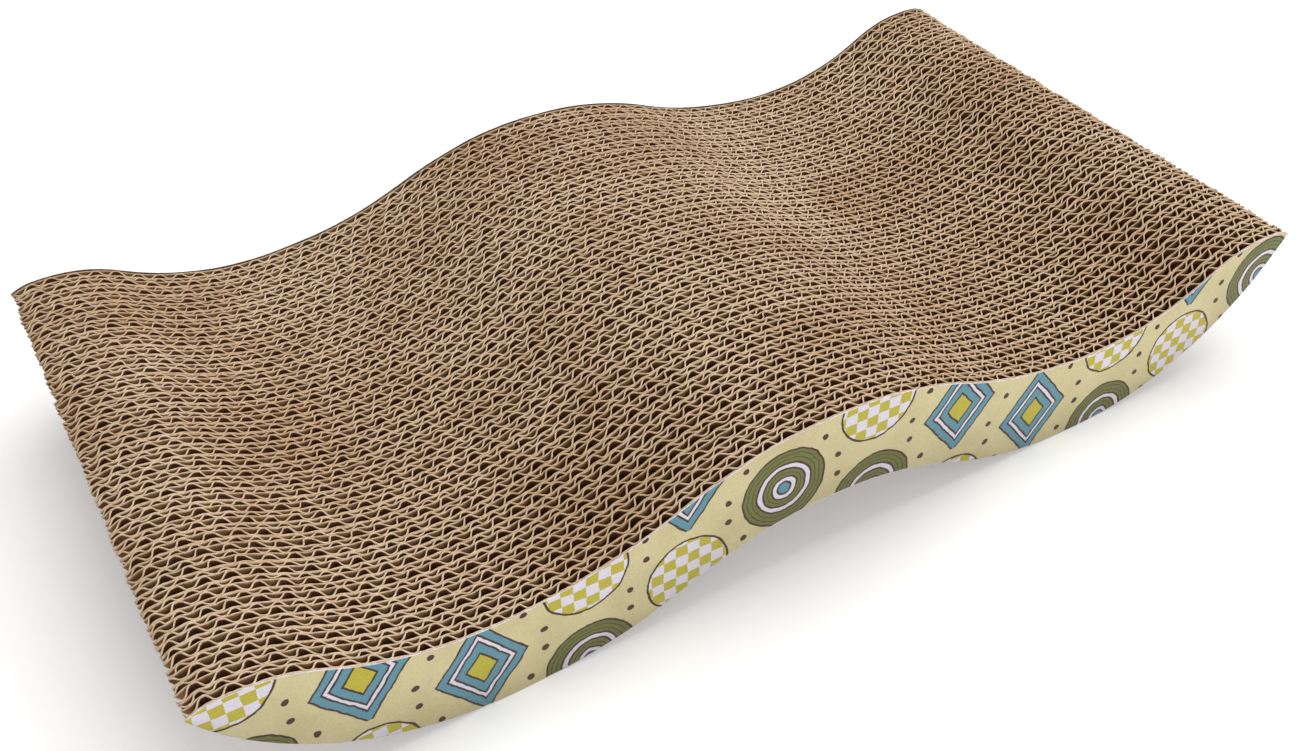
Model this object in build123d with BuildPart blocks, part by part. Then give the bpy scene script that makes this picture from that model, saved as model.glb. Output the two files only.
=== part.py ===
"""Wave-shaped cardboard cat scratcher.

Corrugated strips stand on edge with their flutes upright, and are glued liner to liner
between two printed side sheets. Every strip and sheet is cut to the same wave.
Millimetres, +X along the wave, +Y from the front side to the back side, +Z up. The origin
is on the floor under the middle of the scratcher.
"""

import os
from math import ceil

from build123d import *

# Wave, seen from the side: both halves are alike
length = 440.0
crest_height = 63.3  # top of the middle crest
valley_x = 126.7  # from the middle to the lowest line of each lounging valley
valley_height = 36.5
valley_inner_radius = 167.6  # valley's side towards the middle
valley_outer_radius = 107.2  # valley's side towards the end
lip_inset = 12.8  # from the end to the top of the raised lip
lip_height = 57.8
tip_height = 56.3  # upper edge of the blunt tip at each end
tip_thickness = 1.8
arch_height = 25.4  # underside at the middle
foot_x = 119.8  # from the middle to the middle of each foot
foot_flat = 8.0  # width of the flat that each foot rests on
foot_inner_radius = 140.0  # foot's side towards the middle
largest_trough_share = 0.9  # of a crest's and a trough's radii together, where they meet

# Double-wall board: liner, large flute, liner, small flute, liner
liner = 0.35  # thickness of each flat paper
large_flute_gap = 3.1  # between its two liners
large_flute_pitch = 7.85
small_flute_gap = 2.0
small_flute_pitch = 6.5
flutes_in_one = 2  # real flutes that each modelled flute spans
crest_cover = 0.3  # fluted paper between a cell's ridge and the liner behind it
glue_width = 0.4  # fluted paper's glue line on a liner

# Flute shifts of the kinds of strip, as shares of one modelled flute, large and small
flute_shift_shares = ((0.45, 0.85), (0.5, 0.5), (0.95, 0.35))

# Stack from front to back: double-wall strips, then one single-wall strip that closes it
strip_count = 36
side_sheet = 0.25  # thickness of the printed paper on the front and the back side

cut_overrun = 2.0

double_wall = 3 * liner + large_flute_gap + small_flute_gap
single_wall = 2 * liner + large_flute_gap
width = strip_count * double_wall + single_wall + 2 * side_sheet
front_y = -width / 2
first_strip_y = front_y + side_sheet
closing_strip_y = first_strip_y + strip_count * double_wall
back_sheet_y = closing_strip_y + single_wall


def bend(top, bottom, bottom_radius):
    """Point where a crest's arc meets a trough's arc, when both are level at the given points.

    A trough that leaves its crest too little room is drawn tighter.
    """
    run = bottom[0] - top[0]
    drop = top[1] - bottom[1]
    sum_of_radii = (run**2 + drop**2) / (2 * drop)
    bottom_share = min(bottom_radius / sum_of_radii, largest_trough_share)
    return (bottom[0] - run * bottom_share, bottom[1] + drop * bottom_share)


def wave_slab(thickness):
    """A slab cut to the wave, from y = 0 towards the back."""
    end_x = length / 2
    crest = (0, crest_height)
    valley = (valley_x, valley_height)
    lip = (end_x - lip_inset, lip_height)
    tip_top = (end_x, tip_height)
    tip_bottom = (end_x, tip_height - tip_thickness)
    foot_inner = (foot_x - foot_flat / 2, 0)
    foot_outer = (foot_x + foot_flat / 2, 0)
    arch = (0, arch_height)
    crest_bend = bend(crest, valley, valley_inner_radius)
    lip_bend = bend(lip, valley, valley_outer_radius)
    arch_bend = bend(arch, foot_inner, foot_inner_radius)
    inward = (-1, 0)
    outward = (1, 0)

    with BuildPart() as slab:
        with BuildSketch(Plane.XZ):
            with BuildLine():
                TangentArc(valley, crest_bend, tangent=inward)
                TangentArc(valley, lip_bend, tangent=outward)
                TangentArc(lip, lip_bend, tangent=inward)
                TangentArc(lip, tip_top, tangent=outward)
                Line(tip_top, tip_bottom)
                TangentArc(foot_outer, tip_bottom, tangent=outward)
                Line(foot_outer, foot_inner)
                TangentArc(foot_inner, arch_bend, tangent=inward)
                mirror(about=Plane.YZ)
                ThreePointArc((-crest_bend[0], crest_bend[1]), crest, crest_bend)
                ThreePointArc((-arch_bend[0], arch_bend[1]), arch, arch_bend)
            make_face()
        extrude(amount=-thickness)
    return slab.part


def flute_cells(near_y, gap, flute_pitch, shift_share):
    """Open cells on both sides of one fluted paper, as upright prisms through the whole wave."""
    pitch = flutes_in_one * flute_pitch
    half_base = (pitch - glue_width) / 2
    ridge = gap - crest_cover
    reach = ceil(length / 2 / pitch) + 1
    near_x = [(turn + shift_share) * pitch for turn in range(-reach, reach)]

    with BuildPart() as cells:
        with BuildSketch(Plane.XY.offset(-cut_overrun)):
            with Locations([(x, near_y) for x in near_x]):
                Polygon((-half_base, 0), (half_base, 0), (0, ridge), align=None)
            with Locations([(x + pitch / 2, near_y + gap) for x in near_x]):
                Polygon((half_base, 0), (-half_base, 0), (0, -ridge), align=None)
        extrude(amount=crest_height + 2 * cut_overrun)
    return cells.part


def double_wall_strip(large_shift_share, small_shift_share):
    """A strip of double-wall board, large flute to the front."""
    small_row_y = 2 * liner + large_flute_gap
    large_cells = flute_cells(liner, large_flute_gap, large_flute_pitch, large_shift_share)
    small_cells = flute_cells(small_row_y, small_flute_gap, small_flute_pitch, small_shift_share)
    with BuildPart() as strip:
        add(wave_slab(double_wall))
        add([large_cells, small_cells], mode=Mode.SUBTRACT, clean=False)
    return strip.part


def single_wall_strip(shift_share):
    """A strip of single-wall board with the large flute."""
    cells = flute_cells(liner, large_flute_gap, large_flute_pitch, shift_share)
    with BuildPart() as strip:
        add(wave_slab(single_wall))
        add(cells, mode=Mode.SUBTRACT, clean=False)
    return strip.part


def write(name, piece, y):
    """Places a piece in the stack and writes it."""
    placed = piece.moved(Location((0, y, 0)))
    placed.label = name
    export_step(placed, f"parts/{name}.step", write_pcurves=False)


os.makedirs("parts", exist_ok=True)

# Strips: the kinds follow one another from front to back
kinds = [double_wall_strip(*shift_shares) for shift_shares in flute_shift_shares]
for number in range(strip_count):
    strip_y = first_strip_y + number * double_wall
    write(f"strip_{number + 1:02d}", kinds[number % len(kinds)], strip_y)
write("closing_strip", single_wall_strip(flute_shift_shares[0][0]), closing_strip_y)

# Printed side sheets
sheet = wave_slab(side_sheet)
write("front_side_sheet", sheet, front_y)
write("back_side_sheet", sheet, back_sheet_y)
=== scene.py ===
import bpy
import numpy as np
from mathutils import Euler, Matrix


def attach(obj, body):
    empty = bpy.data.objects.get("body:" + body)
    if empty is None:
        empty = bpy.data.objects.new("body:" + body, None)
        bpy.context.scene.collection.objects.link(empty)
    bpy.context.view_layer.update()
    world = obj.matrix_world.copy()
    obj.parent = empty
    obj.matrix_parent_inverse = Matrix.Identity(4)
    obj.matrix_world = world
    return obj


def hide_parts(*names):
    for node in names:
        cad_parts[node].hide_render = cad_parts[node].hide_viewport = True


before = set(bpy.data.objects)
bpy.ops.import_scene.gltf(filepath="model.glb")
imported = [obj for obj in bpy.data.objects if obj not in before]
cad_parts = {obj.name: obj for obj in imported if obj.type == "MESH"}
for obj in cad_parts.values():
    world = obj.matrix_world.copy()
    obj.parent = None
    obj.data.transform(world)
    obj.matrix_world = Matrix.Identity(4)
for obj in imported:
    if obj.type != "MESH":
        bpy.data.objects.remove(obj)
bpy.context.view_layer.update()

# A strip of board is drawn as the papers that it is made of, each a thin ribbon that stands
# on edge and is cut to the wave. Lengths are in millimetres until a mesh is made.
MM = 0.001

# Random draws: seeds of the sway, the slips, the sheets, each liner, each flute and each strip
SEED = 41
SLIP_SEED = SEED + 3
SHEET_SEED = SEED + 7
LINER_SEED = SEED + 500
FLUTE_SEED = SEED + 1000
STRIP_SEED_STEP = 100

# Wave, as in the CAD model: both halves are alike
LENGTH = 440.0
CREST_HEIGHT = 63.3
VALLEY_X = 126.7
VALLEY_HEIGHT = 36.5
VALLEY_INNER_RADIUS = 167.6
VALLEY_OUTER_RADIUS = 107.2
LIP_INSET = 12.8
LIP_X = LENGTH / 2 - LIP_INSET
LIP_HEIGHT = 57.8
TIP_HEIGHT = 56.3
TIP_THICKNESS = 1.8
ARCH_HEIGHT = 25.4
FOOT_X = 119.8
FOOT_FLAT = 8.0
FOOT_INNER_RADIUS = 140.0

# Board and stack, as in the CAD model, but with the flutes at their true pitch
LINER = 0.35
LARGE_GAP = 3.1
LARGE_PITCH = 7.85
SMALL_GAP = 2.0
SMALL_PITCH = 6.5
STRIPS = 36
SHEET = 0.25
DOUBLE_WALL = 3 * LINER + LARGE_GAP + SMALL_GAP
WIDTH = STRIPS * DOUBLE_WALL + 2 * LINER + LARGE_GAP + 2 * SHEET
FRONT_Y = -WIDTH / 2
ROWS = 2 * STRIPS + 1

# Cut papers: thickness down in the board, then at the frayed cut edge and on its rim
PAPER = 0.26
FLUTE_FRAY = (0.56, 0.36)
LINER_FRAY = (0.4, 0.26)
FRONT_FRAY = (0.75, 0.55)
SHEET_FRAY = (SHEET, 0.8 * SHEET)
UNDERSIDE_FRAY = 1.5 * PAPER
FRAY_DEPTH = 0.7
RIM_DEPTH = 0.2
LEAST_WALL = 0.1
BURR_SHARE = 0.2
BURR_LENGTHS = (1.5, 5)

# Nose: the cut rolls over at both ends
NOSE_RUN = 8.0
NOSE_DROP = 1.3
LEAST_TIP = 0.4

# Slip: how far each strip is glued out of line along the wave
SLIP_SPREAD = 0.3
SLIP_LIMIT = 0.6

# Sway: the stacked boards lean out of line together
SWAY = 0.16
SWAY_WAVES = 6
SWAY_LENGTHS = (60, 210)
SWAY_SLANT = 0.6

# Uneven flutes: shares of the pitch, or of the way between two liners
PITCH_SPREAD = 0.06
PITCH_LIMIT = 0.14
SQUEEZE_SPREAD = 0.03
PUSH_SPREAD = 0.2
CRUSHED_SHARE = 0.07
CRUSHED_SIZES = (0.5, 0.85)
CREST_FLATNESS = 0.12
CREST_FULLNESS = 0.9
SPARE_FLUTES = 8
LARGE_FLUTE_STEPS = 10
SMALL_FLUTE_STEPS = 9
FLUTE_ENDS = (-0.45, 0.15)
FLUTE_LEAN_SPREAD = 0.12
FLUTE_LEAN = 0.14
FLUTE_LEAN_LENGTHS = (30, 160)
FLUTE_LIFT = 0.15
FLUTE_LIFT_LENGTHS = (4, 30)

# Uneven liners, which give way where the flutes push on them
LINER_PUSH = 0.17
DENT = 0.05
DENT_LENGTHS = (12, 50)
LINER_POINTS = 401
LINER_ENDS = (-0.25, 0.25)
LINER_LIFT = 0.13
LINER_LIFT_LENGTHS = (6, 60)
LINER_SINK = (-0.08, 0.05)
FRONT_LINER_CLEARANCE = 0.05

# Side sheets: how far each stands above the board's cut, how deep its rim is and how even it is. The
# back sheet's dark rim is painted shade: a dark brown band along its cut edges that stands in for the
# shadow on its top edge.
FRONT_PROUD = 0.0
BACK_PROUD = 0.5
FRONT_RIM = 0.15
BACK_SHADE_RIM = 0.6
SHEET_POINTS = 441
SHEET_LIFT = 0.12
SHEET_LIFT_LENGTHS = (10, 90)
SHEET_SWAY = 0.06
SHEET_SWAY_LENGTHS = (15, 80)

# Shade of a paper's wall, mean and spread: flutes are darker than liners
FLUTE_TONE = (-0.8, 0.35)
LINER_TONE = (0.8, 0.3)


def sum_of_radii(top, bottom):
    """For a crest's arc that runs into a trough's arc, when both are level at the given points."""
    run, drop = bottom[0] - top[0], top[1] - bottom[1]
    return (run**2 + drop**2) / (2 * drop)


def meeting_x(top, bottom, bottom_radius):
    """Where the two arcs meet."""
    return bottom[0] - (bottom[0] - top[0]) * bottom_radius / sum_of_radii(top, bottom)


def hill(x, peak, radius):
    return peak[1] - radius + np.sqrt(np.maximum(radius**2 - (x - peak[0]) ** 2, 0))


def bowl(x, low, radius):
    return low[1] + radius - np.sqrt(np.maximum(radius**2 - (x - low[0]) ** 2, 0))


def wave_top(x):
    """Height of the wave's upper side."""
    x = np.abs(x)
    crest, valley, lip = (0, CREST_HEIGHT), (VALLEY_X, VALLEY_HEIGHT), (LIP_X, LIP_HEIGHT)
    crest_radius = sum_of_radii(crest, valley) - VALLEY_INNER_RADIUS
    lip_radius = sum_of_radii(lip, valley) - VALLEY_OUTER_RADIUS
    tip_radius = sum_of_radii(lip, (LENGTH / 2, TIP_HEIGHT))
    stretches = [
        x < meeting_x(crest, valley, VALLEY_INNER_RADIUS),
        x < VALLEY_X,
        x < meeting_x(lip, valley, VALLEY_OUTER_RADIUS),
        x < LIP_X,
    ]
    heights = [
        hill(x, crest, crest_radius),
        bowl(x, valley, VALLEY_INNER_RADIUS),
        bowl(x, valley, VALLEY_OUTER_RADIUS),
        hill(x, lip, lip_radius),
    ]
    return np.select(stretches, heights, hill(x, lip, tip_radius))


def wave_bottom(x):
    """Height of the wave's underside."""
    x = np.abs(x)
    arch = (0, ARCH_HEIGHT)
    inner, outer = (FOOT_X - FOOT_FLAT / 2, 0), (FOOT_X + FOOT_FLAT / 2, 0)
    arch_radius = sum_of_radii(arch, inner) - FOOT_INNER_RADIUS
    end_radius = sum_of_radii((LENGTH / 2, TIP_HEIGHT - TIP_THICKNESS), outer)
    stretches = [x < meeting_x(arch, inner, FOOT_INNER_RADIUS), x < inner[0], x < outer[0]]
    heights = [hill(x, arch, arch_radius), bowl(x, inner, FOOT_INNER_RADIUS), np.zeros_like(x)]
    return np.select(stretches, heights, bowl(x, outer, end_radius))


def ripple(rng, x, lengths, count=5):
    """Smooth noise along x, about -1 to 1, from waves of the shortest to the longest length."""
    total = np.zeros_like(x)
    for length in rng.uniform(*lengths, count):
        total += np.sin(2 * np.pi * (x / length + rng.uniform()))
    return total / np.sqrt(count)


class Papers:
    """Cut ribbons of paper that stand on edge, gathered into one mesh."""

    def __init__(self, slip=0.0):
        self.points, self.faces, self.depths, self.rises, self.tones = [], [], [], [], []
        self.count = 0
        self.slip = slip

    def add(self, rng, x, y, tone, lift, fray, paper=None):
        """A paper along x and y. One with a paper thickness thins out below its frayed edge."""
        inside = np.clip(x, -LENGTH / 2, LENGTH / 2)
        nose = np.maximum(np.abs(inside) - LENGTH / 2 + NOSE_RUN, 0) / NOSE_RUN
        low = wave_bottom(inside)
        top = np.maximum(wave_top(inside) + lift - NOSE_DROP * nose**2, low + LEAST_TIP)
        burr = 1 + BURR_SHARE * ripple(rng, x, BURR_LENGTHS)
        widths = [fray[0] * burr, fray[1] * burr]
        levels = [top - RIM_DEPTH, top]
        if paper:
            widths = [np.full_like(x, UNDERSIDE_FRAY), np.full_like(x, paper)] + widths
            levels = [low, np.maximum(top - FRAY_DEPTH, low + LEAST_WALL)] + levels
        else:
            widths = [widths[0]] + widths
            levels = [low] + levels
        corners = np.zeros((len(x), len(levels), 2, 3))
        run_x, run_y = np.gradient(x), np.gradient(y)
        run = np.hypot(run_x, run_y)
        for n, (width, level) in enumerate(zip(widths, levels)):
            for k, sign in enumerate((1, -1)):
                corners[:, n, k, 0] = x + self.slip + sign * (-run_y / run) * width / 2
                corners[:, n, k, 1] = y + sign * (run_x / run) * width / 2
                corners[:, n, k, 2] = level
        self.points.append(corners.reshape(-1, 3))
        self.depths.append((top[:, None, None] - corners[..., 2]).ravel())
        self.rises.append((corners[..., 2] - low[:, None, None]).ravel())
        self.tones.append(np.full(corners[..., 2].size, tone))
        self.cover(len(x), len(levels))

    def cover(self, length, rows):
        """Faces for the last paper's two sides, its upper and lower edge and its ends."""
        index = self.count + np.arange(length * rows * 2).reshape(-1, rows, 2)
        a, b = index[:-1], index[1:]
        for n in range(rows - 1):
            self.faces.append(np.stack([a[:, n, 1], b[:, n, 1], b[:, n + 1, 1], a[:, n + 1, 1]], 1))
            self.faces.append(np.stack([b[:, n, 0], a[:, n, 0], a[:, n + 1, 0], b[:, n + 1, 0]], 1))
        self.faces.append(np.stack([a[:, -1, 1], b[:, -1, 1], b[:, -1, 0], a[:, -1, 0]], 1))
        self.faces.append(np.stack([a[:, 0, 0], b[:, 0, 0], b[:, 0, 1], a[:, 0, 1]], 1))
        for end, near in ((index[0], 0), (index[-1], 1)):
            for n in range(rows - 1):
                quad = [end[n, near], end[n, 1 - near], end[n + 1, 1 - near], end[n + 1, near]]
                self.faces.append(np.array([quad]))
        self.count += index.size

    def make(self, name, material):
        """One object of all papers so far, which keeps each point's depth, rise and tone."""
        points, faces = np.concatenate(self.points) * MM, np.concatenate(self.faces)
        mesh = bpy.data.meshes.new(name)
        mesh.vertices.add(len(points))
        mesh.vertices.foreach_set("co", points.ravel())
        mesh.loops.add(faces.size)
        mesh.loops.foreach_set("vertex_index", faces.ravel())
        mesh.polygons.add(len(faces))
        mesh.polygons.foreach_set("loop_start", np.arange(0, faces.size, 4))
        mesh.polygons.foreach_set("use_smooth", np.ones(len(faces), bool))
        mesh.update(calc_edges=True)
        for label, values in (("depth", self.depths), ("rise", self.rises), ("tone", self.tones)):
            layer = mesh.attributes.new(label, "FLOAT", "POINT")
            layer.data.foreach_set("value", np.concatenate(values).astype(np.float32))
        mesh.materials.append(material)
        piece = bpy.data.objects.new(name, mesh)
        bpy.context.scene.collection.objects.link(piece)
        return piece


# Places along the wave at which the flutes' swings and the liners' bends are kept
GRID_OVERRUN = 6.0
GRID_STEP = 0.25
GRID_END = LENGTH / 2 + GRID_OVERRUN
GRID = np.linspace(-GRID_END, GRID_END, round(2 * GRID_END / GRID_STEP) + 1)

shared = np.random.default_rng(SEED)
sway_lengths = shared.uniform(*SWAY_LENGTHS, SWAY_WAVES)
sway_turns = shared.uniform(0, 1, SWAY_WAVES)
sway_slants = shared.uniform(-SWAY_SLANT, SWAY_SLANT, SWAY_WAVES)


def sway(x, y):
    """How far the boards lean out of line at a row: the same for all papers, nothing at the sides."""
    total = np.zeros_like(x)
    for length, turn, slant in zip(sway_lengths, sway_turns, sway_slants):
        total += np.sin(2 * np.pi * ((x + slant * y) / length + turn))
    return SWAY * total * (1 - (2 * np.abs(y) / WIDTH) ** 4)


def flute_swing(rng, pitch):
    """How a fluted paper goes between its liners along the grid, from -1 in front to 1 behind."""
    waves = int(LENGTH / pitch) + SPARE_FLUTES
    lengths = pitch * (1 + np.clip(rng.normal(0, PITCH_SPREAD, waves), -PITCH_LIMIT, PITCH_LIMIT))
    knots = np.cumsum(lengths) - lengths.sum() / 2 + rng.uniform(-0.5, 0.5) * pitch
    squeeze = 1 - np.abs(rng.normal(0, SQUEEZE_SPREAD, waves))
    crushed = rng.random(waves) < CRUSHED_SHARE
    squeeze[crushed] = rng.uniform(*CRUSHED_SIZES, crushed.sum())
    push = np.where(crushed, rng.choice([-1, 1], waves), rng.normal(0, PUSH_SPREAD, waves))
    turn = 2 * np.pi * np.interp(GRID, knots, np.arange(waves))
    size = np.interp(GRID, knots, squeeze)
    swing = size * (np.sin(turn) + CREST_FLATNESS * np.sin(3 * turn)) / CREST_FULLNESS
    return np.clip(swing + (1 - size) * np.interp(GRID, knots, push), -1, 1)


swings = []
for row in range(ROWS):
    row_rng = np.random.default_rng(FLUTE_SEED + row)
    swings.append(flute_swing(row_rng, SMALL_PITCH if row % 2 else LARGE_PITCH))

# Bends of the liners at the seams between rows; the outer two lie straight against the side sheets
bends = [0 * GRID]
for seam in range(1, ROWS):
    dents = ripple(np.random.default_rng(LINER_SEED + seam), GRID, DENT_LENGTHS)
    bends.append(LINER_PUSH * (swings[seam - 1] + swings[seam]) + DENT * dents)
bends.append(0 * GRID)


def add_liner(papers, rng, y, seam, fray=LINER_FRAY, paper=None):
    x = np.linspace(-LENGTH / 2, LENGTH / 2, LINER_POINTS)
    bend = np.interp(x, GRID, bends[seam])
    x[[0, -1]] += rng.uniform(*LINER_ENDS, 2)
    lift = LINER_LIFT * ripple(rng, x, LINER_LIFT_LENGTHS) + rng.normal(*LINER_SINK)
    place = y + bend + sway(x, np.full_like(x, y))
    papers.add(rng, x, place, rng.normal(*LINER_TONE), lift, fray, paper)


def add_flutes(papers, rng, y, row, gap, pitch, steps):
    ends = LENGTH / 2 + rng.uniform(*FLUTE_ENDS, 2)
    x = np.linspace(-ends[0], ends[1], int(LENGTH / pitch * steps) + 1)
    swing = np.interp(x, GRID, swings[row])
    front, back = np.interp(x, GRID, bends[row]), np.interp(x, GRID, bends[row + 1])
    reach = (gap + LINER) / 2 - PAPER
    across = swing * reach + back * (1 + swing) / 2 + front * (1 - swing) / 2
    lean = rng.normal(0, FLUTE_LEAN_SPREAD) + FLUTE_LEAN * ripple(rng, x, FLUTE_LEAN_LENGTHS)
    along = x + across * lean
    lift = FLUTE_LIFT * ripple(rng, x, FLUTE_LIFT_LENGTHS)
    middle = y + sway(along, np.full_like(x, y))
    papers.add(rng, along, middle + across, rng.normal(*FLUTE_TONE), lift, FLUTE_FRAY, PAPER)


# Materials: noise scales are in waves per metre, and colours are what a screen shows
BUMP_HEIGHT = 0.2 * MM


class Graph:
    """Shorthand for wiring the shader nodes of a material or the world."""

    def __init__(self, owner):
        owner.use_nodes = True
        self.nodes, self.links = owner.node_tree.nodes, owner.node_tree.links

    def put(self, socket, value):
        if isinstance(value, bpy.types.NodeSocket):
            self.links.new(value, socket)
        else:
            socket.default_value = value

    def math(self, operation, a, b=0.0):
        node = self.nodes.new("ShaderNodeMath")
        node.operation = operation
        self.put(node.inputs[0], a)
        self.put(node.inputs[1], b)
        return node.outputs[0]

    def far(self, a, b):
        """How far a point is from the middle, by its two coordinates."""
        squares = [self.math("MULTIPLY", side, side) for side in (a, b)]
        return self.math("SQRT", self.math("ADD", *squares))

    def cell(self, value, size):
        """Which cell of a row a coordinate is in, and how far it is from that cell's middle."""
        number = self.math("FLOOR", self.math("DIVIDE", value, size))
        start = self.math("MULTIPLY", number, size)
        return number, self.math("SUBTRACT", self.math("SUBTRACT", value, start), size / 2)

    def ramp(self, value, low, high, to_low=0.0, to_high=1.0):
        node = self.nodes.new("ShaderNodeMapRange")
        node.interpolation_type = "SMOOTHSTEP"
        for socket, number in zip(node.inputs, (value, low, high, to_low, to_high)):
            self.put(socket, number)
        return node.outputs[0]

    def mix(self, share, first, second, blend="MIX"):
        node = self.nodes.new("ShaderNodeMix")
        node.data_type = "RGBA"
        node.blend_type = blend
        self.put(node.inputs[0], share)
        self.put(node.inputs[6], first)
        self.put(node.inputs[7], second)
        return node.outputs[2]

    def shade(self, share, colour, tint):
        """A colour that is multiplied by a tint where the share says so."""
        return self.mix(share, colour, self.mix(1.0, colour, tint, "MULTIPLY"))

    def noise(self, place, scale, detail=3.0, rough=0.55):
        node = self.nodes.new("ShaderNodeTexNoise")
        self.put(node.inputs["Vector"], place)
        self.put(node.inputs["Scale"], scale)
        self.put(node.inputs["Detail"], detail)
        self.put(node.inputs["Roughness"], rough)
        return node.outputs["Fac"]

    def place(self, stretch=(1, 1, 1)):
        source = self.nodes.new("ShaderNodeTexCoord")
        mapping = self.nodes.new("ShaderNodeMapping")
        mapping.inputs["Scale"].default_value = stretch
        self.links.new(source.outputs["Object"], mapping.inputs["Vector"])
        return mapping.outputs["Vector"]

    def split(self, vector):
        node = self.nodes.new("ShaderNodeSeparateXYZ")
        self.links.new(vector, node.inputs[0])
        return node.outputs

    def value(self, name):
        node = self.nodes.new("ShaderNodeAttribute")
        node.attribute_name = name
        return node.outputs["Fac"]

    def from_cut(self):
        """How far a point is from the nearest cut edge of its paper, in millimetres."""
        return self.math("MINIMUM", self.value("depth"), self.value("rise"))

    def shown_rays(self):
        """1 for rays that show the background: to the camera, off a gloss or through glass."""
        ray = self.nodes.new("ShaderNodeLightPath").outputs
        turned = self.math("MAXIMUM", ray["Is Glossy Ray"], ray["Is Transmission Ray"])
        return self.math("MAXIMUM", ray["Is Camera Ray"], turned)

    def bump(self, shader, height, strength):
        node = self.nodes.new("ShaderNodeBump")
        node.inputs["Strength"].default_value = strength
        node.inputs["Distance"].default_value = BUMP_HEIGHT
        self.links.new(height, node.inputs["Height"])
        self.links.new(node.outputs[0], shader.inputs["Normal"])


def new_material(name):
    material = bpy.data.materials.new(name)
    g = Graph(material)
    return material, g, g.nodes["Principled BSDF"]


def rgb(red, green, blue):
    """A linear colour from the 0 to 255 that a screen shows."""
    parts = np.array([red, green, blue]) / 255
    linear = np.where(parts <= 0.04045, parts / 12.92, ((parts + 0.055) / 1.055) ** 2.4)
    return (*linear.tolist(), 1.0)


# Kraft papers: walls, cut edges and the depth in which an edge fades into its wall
WALL_DARK, WALL_PALE = rgb(103, 66, 35), rgb(173, 134, 93)
WALL_TONES = (-1.5, 1.5)
CUT_DARK, CUT_PALE = rgb(203, 173, 138), rgb(250, 232, 206)
CUT_SCALE = 900.0
CUT_FADE = (0.18, 0.65)
FIBRE_TINT = rgb(226, 214, 200)
FIBRE_SCALE = 650.0
FIBRE_STRETCH = (1, 1, 0.25)
PATCH_TINT = rgb(236, 228, 218)
PATCH_SCALE = 17.0
SPECK = rgb(104, 72, 46)
SPECK_SCALE = 1500.0
SPECK_SHARE = 0.5


def kraft_board():
    """Kraft papers: dark walls in the flutes, pale fibres where they are cut."""
    material, g, shader = new_material("kraft_board")
    wall = g.mix(g.ramp(g.value("tone"), *WALL_TONES), WALL_DARK, WALL_PALE)
    cut = g.mix(g.noise(g.place(), CUT_SCALE, detail=4.0, rough=0.7), CUT_DARK, CUT_PALE)
    colour = g.mix(g.ramp(g.from_cut(), *CUT_FADE, 1.0, 0.0), wall, cut)
    fibres = g.noise(g.place(FIBRE_STRETCH), FIBRE_SCALE, detail=4.0, rough=0.65)
    colour = g.shade(g.ramp(fibres, 0.3, 0.75), colour, FIBRE_TINT)
    patches = g.ramp(g.noise(g.place(), PATCH_SCALE), 0.35, 0.7)
    colour = g.shade(patches, colour, PATCH_TINT)
    specks = g.ramp(g.noise(g.place(), SPECK_SCALE, detail=1.0), 0.70, 0.76)
    colour = g.mix(g.math("MULTIPLY", specks, SPECK_SHARE), colour, SPECK)
    g.put(shader.inputs["Base Color"], colour)
    g.put(shader.inputs["Roughness"], g.ramp(fibres, 0.2, 0.8, 0.82, 0.96))
    shader.inputs["Specular IOR Level"].default_value = 0.25
    g.bump(shader, fibres, 0.35)
    return material


# Print: three motifs take turns in columns, and every second column is half a row lower
PRINT_COLUMN = 38.0
PRINT_ROW = 40.0
PRINT_WAVER = 1.6
PRINT_WAVER_SCALES = (160.0, 190.0)
PRINT_BLUR = 0.08
GROUND, GROUND_SHADE = rgb(221, 209, 161), rgb(211, 198, 150)
GROUND_SCALE = 55.0
GRAIN_TINT = rgb(244, 243, 240)
GRAIN_SCALE = 1100.0
RIM_SCALE = 420.0
RIM_STRETCH = (1, 0.1, 0.1)
RIM_FADE = 0.15
OUTLINE = rgb(70, 44, 32)
OLIVE = rgb(112, 118, 58)
MUSTARD = rgb(196, 184, 62)
TEAL = rgb(98, 150, 168)
WHITE = rgb(232, 226, 238)
TARGET_DISCS = ((16.5, OLIVE), (11.0, WHITE), (8.6, OLIVE), (5.0, WHITE), (2.7, TEAL))
TARGET_LINES = (14.7, 12.9, 6.8)
TARGET_OUTLINE = 0.4
TARGET_LINE = 0.16
CHECKED_DISC = 15.5
CHECKED_OUTLINE = 0.42
CHECK = 4.6
DIAMOND_HALF_WIDTH = 16.0
DIAMOND_HALF_HEIGHT = 21.0
DIAMOND_SPAN = 11.0
DIAMONDS = ((DIAMOND_SPAN, TEAL), (8.2, WHITE), (6.6, TEAL), (3.8, MUSTARD))
DIAMOND_OUTLINE = 0.32
DOT_RADIUS = 1.3
DOT_INSET_X = 3.2
DOT_INSET_Z = 4.5


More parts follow.
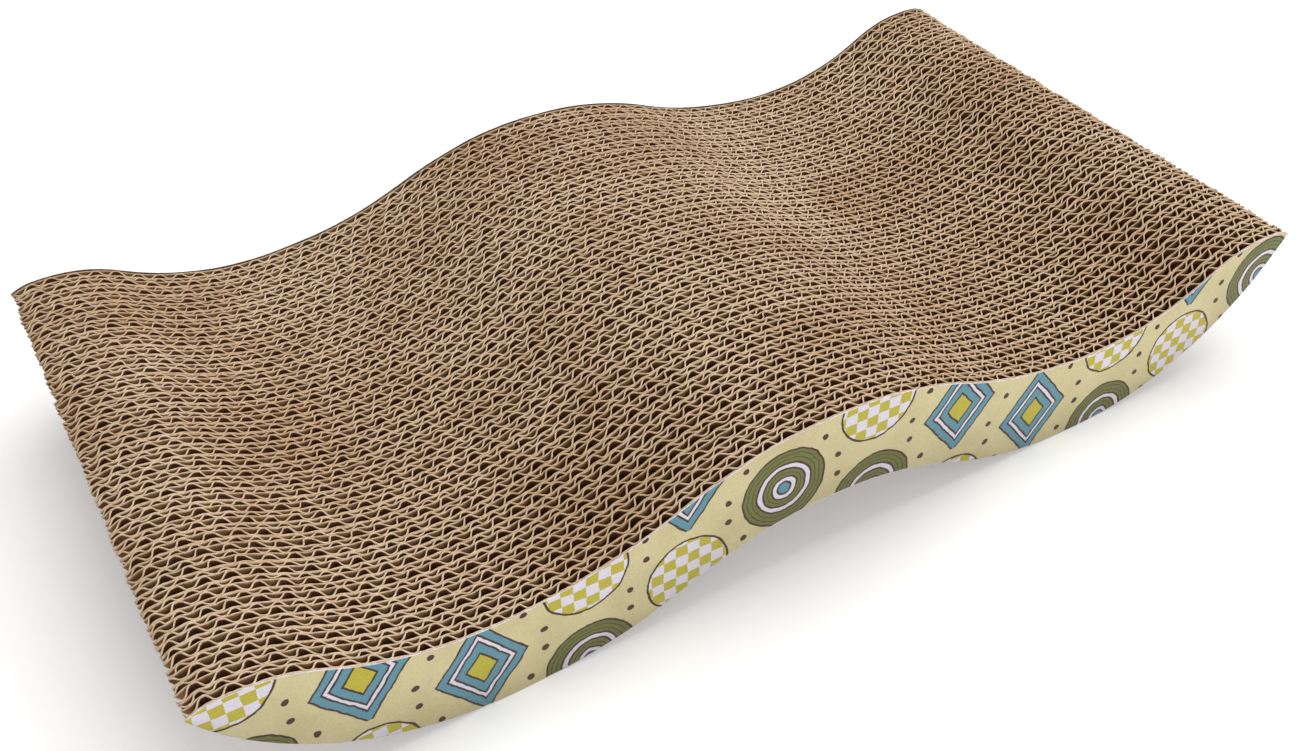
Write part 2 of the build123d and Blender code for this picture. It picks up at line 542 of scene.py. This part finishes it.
def printed_paper(name, rim_depth, rim_paper_or_shade, other_rim_paper_or_shade):
    """Pale khaki paper with a plain geometric print of discs, checked discs, diamonds and dots."""
    material, g, shader = new_material(name)
    x, _, z = g.split(g.place((1 / MM, 1 / MM, 1 / MM)))

    def wavered(coordinate, scale):
        waver = g.math("SUBTRACT", g.noise(g.place(), scale, detail=2.0), 0.5)
        return g.math("ADD", coordinate, g.math("MULTIPLY", waver, PRINT_WAVER))

    x_scale, z_scale = PRINT_WAVER_SCALES
    turn, across = g.cell(wavered(x, x_scale), PRINT_COLUMN)
    odd = g.math("FLOORED_MODULO", turn, 2.0)
    lifted = g.math("ADD", wavered(z, z_scale), g.math("MULTIPLY", odd, PRINT_ROW / 2))
    level, up = g.cell(lifted, PRINT_ROW)
    kind = g.math("FLOORED_MODULO", g.math("ADD", g.math("FLOORED_MODULO", turn, 3.0), level), 3.0)
    radius = g.far(across, up)

    def below(value, limit):
        return g.ramp(value, limit - PRINT_BLUR, limit + PRINT_BLUR, 1.0, 0.0)

    def ring(value, limit, width):
        return below(g.math("ABSOLUTE", g.math("SUBTRACT", value, limit)), width)

    def paint(under, which, mask, over):
        match = g.math("COMPARE", kind, which)
        match.node.inputs[2].default_value = 0.25
        return g.mix(g.math("MULTIPLY", match, mask), under, over)

    target, checked, diamond = 0.0, 1.0, 2.0
    clouds = g.ramp(g.noise(g.place(), GROUND_SCALE, detail=4.0), 0.35, 0.7)
    colour = g.mix(clouds, GROUND, GROUND_SHADE)
    for limit, tint in TARGET_DISCS:
        colour = paint(colour, target, below(radius, limit), tint)
        colour = paint(colour, target, ring(radius, limit, TARGET_OUTLINE), OUTLINE)
    for limit in TARGET_LINES:
        colour = paint(colour, target, ring(radius, limit, TARGET_LINE), OUTLINE)

    def by_turns(value):
        """0 and 1 by turns, from one check to the next."""
        return g.math("FLOORED_MODULO", g.math("FLOOR", g.math("DIVIDE", value, CHECK)), 2.0)

    unlike = g.math("ABSOLUTE", g.math("SUBTRACT", by_turns(across), by_turns(up)))
    checks = g.mix(unlike, WHITE, MUSTARD)
    colour = paint(colour, checked, below(radius, CHECKED_DISC), checks)
    colour = paint(colour, checked, ring(radius, CHECKED_DISC, CHECKED_OUTLINE), OUTLINE)

    half_width, half_height = g.math("ABSOLUTE", across), g.math("ABSOLUTE", up)
    slant_x = g.math("DIVIDE", half_width, DIAMOND_HALF_WIDTH)
    slant_z = g.math("DIVIDE", half_height, DIAMOND_HALF_HEIGHT)
    slant = g.math("MULTIPLY", g.math("ADD", slant_x, slant_z), DIAMOND_SPAN)
    for limit, tint in DIAMONDS:
        colour = paint(colour, diamond, below(slant, limit), tint)
        colour = paint(colour, diamond, ring(slant, limit, DIAMOND_OUTLINE), OUTLINE)

    dot_x = g.math("SUBTRACT", half_width, PRINT_COLUMN / 2 - DOT_INSET_X)
    dot_z = g.math("SUBTRACT", half_height, PRINT_ROW / 2 - DOT_INSET_Z)
    colour = g.mix(below(g.far(dot_x, dot_z), DOT_RADIUS), colour, OUTLINE)

    grain = g.noise(g.place(), GRAIN_SCALE, rough=0.7)
    colour = g.shade(g.ramp(grain, 0.35, 0.75), colour, GRAIN_TINT)
    # Rim along the cut edges: on the front sheet the paper's own white edge, on the back sheet
    # painted shade in dark browns that stand in for its top edge in shadow.
    dashes = g.ramp(g.noise(g.place(RIM_STRETCH), RIM_SCALE, detail=2.0), 0.44, 0.56)
    rim_tone_or_shade = g.mix(dashes, rim_paper_or_shade, other_rim_paper_or_shade)
    colour = g.mix(g.ramp(g.from_cut(), rim_depth, rim_depth + RIM_FADE, 1.0, 0.0), colour, rim_tone_or_shade)
    g.put(shader.inputs["Base Color"], colour)
    g.put(shader.inputs["Roughness"], g.ramp(grain, 0.2, 0.8, 0.5, 0.68))
    shader.inputs["Specular IOR Level"].default_value = 0.35
    washboard = g.math("SINE", g.math("MULTIPLY", x, 2 * np.pi / LARGE_PITCH))
    height = g.math("ADD", g.math("MULTIPLY", washboard, 0.5), g.math("MULTIPLY", grain, 0.5))
    g.bump(shader, height, 0.25)
    return material


# Pieces: one for each node of the CAD model, which it stands in for
kraft = kraft_board()
print_front = printed_paper("printed_front", FRONT_RIM, rgb(236, 230, 240), rgb(214, 204, 214))
# The back sheet's rim colours are painted shade: dark browns that stand in for the shadow on its top
# edge.
print_back = printed_paper("printed_back", BACK_SHADE_RIM, rgb(62, 40, 28), rgb(112, 82, 58))


def wear(piece, node):
    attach(piece, "root")
    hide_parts(node)


slips = np.random.default_rng(SLIP_SEED).normal(0, SLIP_SPREAD, STRIPS + 1)
slips = np.clip(slips, -SLIP_LIMIT, SLIP_LIMIT)
for number in range(STRIPS + 1):
    rng = np.random.default_rng(SEED + STRIP_SEED_STEP * (number + 1))
    y = FRONT_Y + SHEET + number * DOUBLE_WALL
    row = 2 * number
    papers = Papers(slips[number])
    if number:
        add_liner(papers, rng, y + LINER / 2, row)
    else:
        front_liner_y = y + FRONT_FRAY[0] / 2 + FRONT_LINER_CLEARANCE
        add_liner(papers, rng, front_liner_y, row, FRONT_FRAY, PAPER)
    add_flutes(papers, rng, y + LINER + LARGE_GAP / 2, row, LARGE_GAP, LARGE_PITCH, LARGE_FLUTE_STEPS)
    add_liner(papers, rng, y + LINER * 1.5 + LARGE_GAP, row + 1)
    if number < STRIPS:
        small_y = y + 2 * LINER + LARGE_GAP + SMALL_GAP / 2
        add_flutes(papers, rng, small_y, row + 1, SMALL_GAP, SMALL_PITCH, SMALL_FLUTE_STEPS)
        add_liner(papers, rng, y + DOUBLE_WALL - LINER / 2, row + 2)
        node = f"strip_{number + 1:02d}"
    else:
        node = "closing_strip"
    wear(papers.make(f"{node}_papers", kraft), node)

for node, y, proud, material in (
    ("front_side_sheet", FRONT_Y + SHEET / 2, FRONT_PROUD, print_front),
    ("back_side_sheet", -FRONT_Y - SHEET / 2, BACK_PROUD, print_back),
):
    rng = np.random.default_rng(SHEET_SEED)
    papers = Papers()
    x = np.linspace(-LENGTH / 2, LENGTH / 2, SHEET_POINTS)
    lift = proud + SHEET_LIFT * ripple(rng, x, SHEET_LIFT_LENGTHS)
    place = y + SHEET_SWAY * ripple(rng, x, SHEET_SWAY_LENGTHS)
    papers.add(rng, x, place, 0.0, lift, SHEET_FRAY)
    wear(papers.make(f"{node}_print", material), node)


# Studio, in metres: a pale floor that glows more the farther it is, so that it runs into the backdrop
FLOOR_SIZE = 14
FLOOR_DROP = 0.2 * MM
FLOOR_DARK, FLOOR_PALE = (0.93, 0.93, 0.93, 1), (0.95, 0.95, 0.95, 1)
FLOOR_SCALE = 3.0
LIGHT = (1, 1, 1, 1)
GLOW_REACH = (0.6, 2.2)
GLOW = (0.2, 0.9)
SKY_LIGHT = 0.45
SKY_SHOWN = 1.0


def floor_material():
    material, g, shader = new_material("pale_floor")
    cloud = g.noise(g.place(), FLOOR_SCALE, detail=2.0)
    g.put(shader.inputs["Base Color"], g.mix(cloud, FLOOR_DARK, FLOOR_PALE))
    shader.inputs["Roughness"].default_value = 0.9
    shader.inputs["Specular IOR Level"].default_value = 0.1
    shader.inputs["Emission Color"].default_value = LIGHT
    x, y, _ = g.split(g.place())
    glow = g.math("MULTIPLY", g.shown_rays(), g.ramp(g.far(x, y), *GLOW_REACH, *GLOW))
    g.put(shader.inputs["Emission Strength"], glow)
    return material


bpy.ops.mesh.primitive_plane_add(size=FLOOR_SIZE, location=(0, 0, -FLOOR_DROP))
floor = bpy.context.object
floor.name = "floor"
floor.data.materials.append(floor_material())

world = bpy.data.worlds.new("studio")
bpy.context.scene.world = world
sky_graph = Graph(world)
sky = sky_graph.nodes["Background"]
sky.inputs["Color"].default_value = LIGHT
sky_level = sky_graph.ramp(sky_graph.shown_rays(), 0.0, 1.0, SKY_LIGHT, SKY_SHOWN)
sky_graph.put(sky.inputs["Strength"], sky_level)


def soft_box(name, place, size, power):
    """A square lamp that points at the origin."""
    lamp = bpy.data.lights.new(name, "AREA")
    lamp.shape = "SQUARE"
    lamp.size = size
    lamp.energy = power
    box = bpy.data.objects.new(name, lamp)
    bpy.context.scene.collection.objects.link(box)
    forward = -np.array(place) / np.linalg.norm(place)
    right = np.cross(forward, (0, 1, 0))
    right /= np.linalg.norm(right)
    up = np.cross(right, forward)
    turn = Matrix([(*row, 0) for row in np.stack([right, up, -forward], 1).tolist()] + [(0, 0, 0, 1)])
    box.matrix_world = Matrix.Translation(place) @ turn


soft_box("overhead", place=(0.5, 0.4, 1.5), size=1.6, power=19.5)
soft_box("front_fill", place=(0.25, -1.75, 0.9), size=1.2, power=10)

# Camera, solved from the photograph's outline: metres, degrees and the photograph's pixels
PLACE = (-0.2228, -0.3794, 0.3790)
TILT = 49.108
ROLL = 0.891
HEADING = -30.591
FOCAL_PIXELS = 1409.0
IMAGE_WIDTH = 1300
SENSOR_WIDTH = 36
NEAREST = 0.01

lens = bpy.data.cameras.new("photo_view")
lens.sensor_width = SENSOR_WIDTH
lens.lens = FOCAL_PIXELS / IMAGE_WIDTH * SENSOR_WIDTH
lens.clip_start = NEAREST
camera = bpy.data.objects.new("photo_view", lens)
bpy.context.scene.collection.objects.link(camera)
camera.matrix_world = Matrix.LocRotScale(PLACE, Euler(np.radians((TILT, ROLL, HEADING))), None)
bpy.context.scene.camera = camera
bpy.context.scene.view_settings.view_transform = "Standard"
